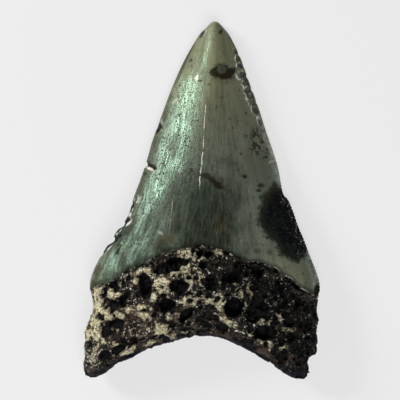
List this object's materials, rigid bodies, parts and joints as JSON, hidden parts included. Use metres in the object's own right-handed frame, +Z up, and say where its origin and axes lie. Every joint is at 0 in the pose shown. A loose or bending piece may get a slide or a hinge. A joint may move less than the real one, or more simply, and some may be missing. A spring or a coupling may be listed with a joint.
{
  "type": "megalodon tooth",
  "caption": "Fossil shark tooth lying flat: a broad triangular enamel crown with thin cutting edges on a thick, arched root pitted by borings.",
  "frame": {"origin": "middle of the tooth's box in plan, on the table it lies on", "axes": "+Y from the root to the tip, +Z up from the table, out of the tooth's convex tongue-side face"},
  "size_m": [0.064, 0.0972, 0.0198],
  "materials": {
    "tooth": "polished enamel crown, rough dark root with pale crust"
  },
  "bodies": {
    "root": {"tooth": "tooth"}
  },
  "joints": []
}
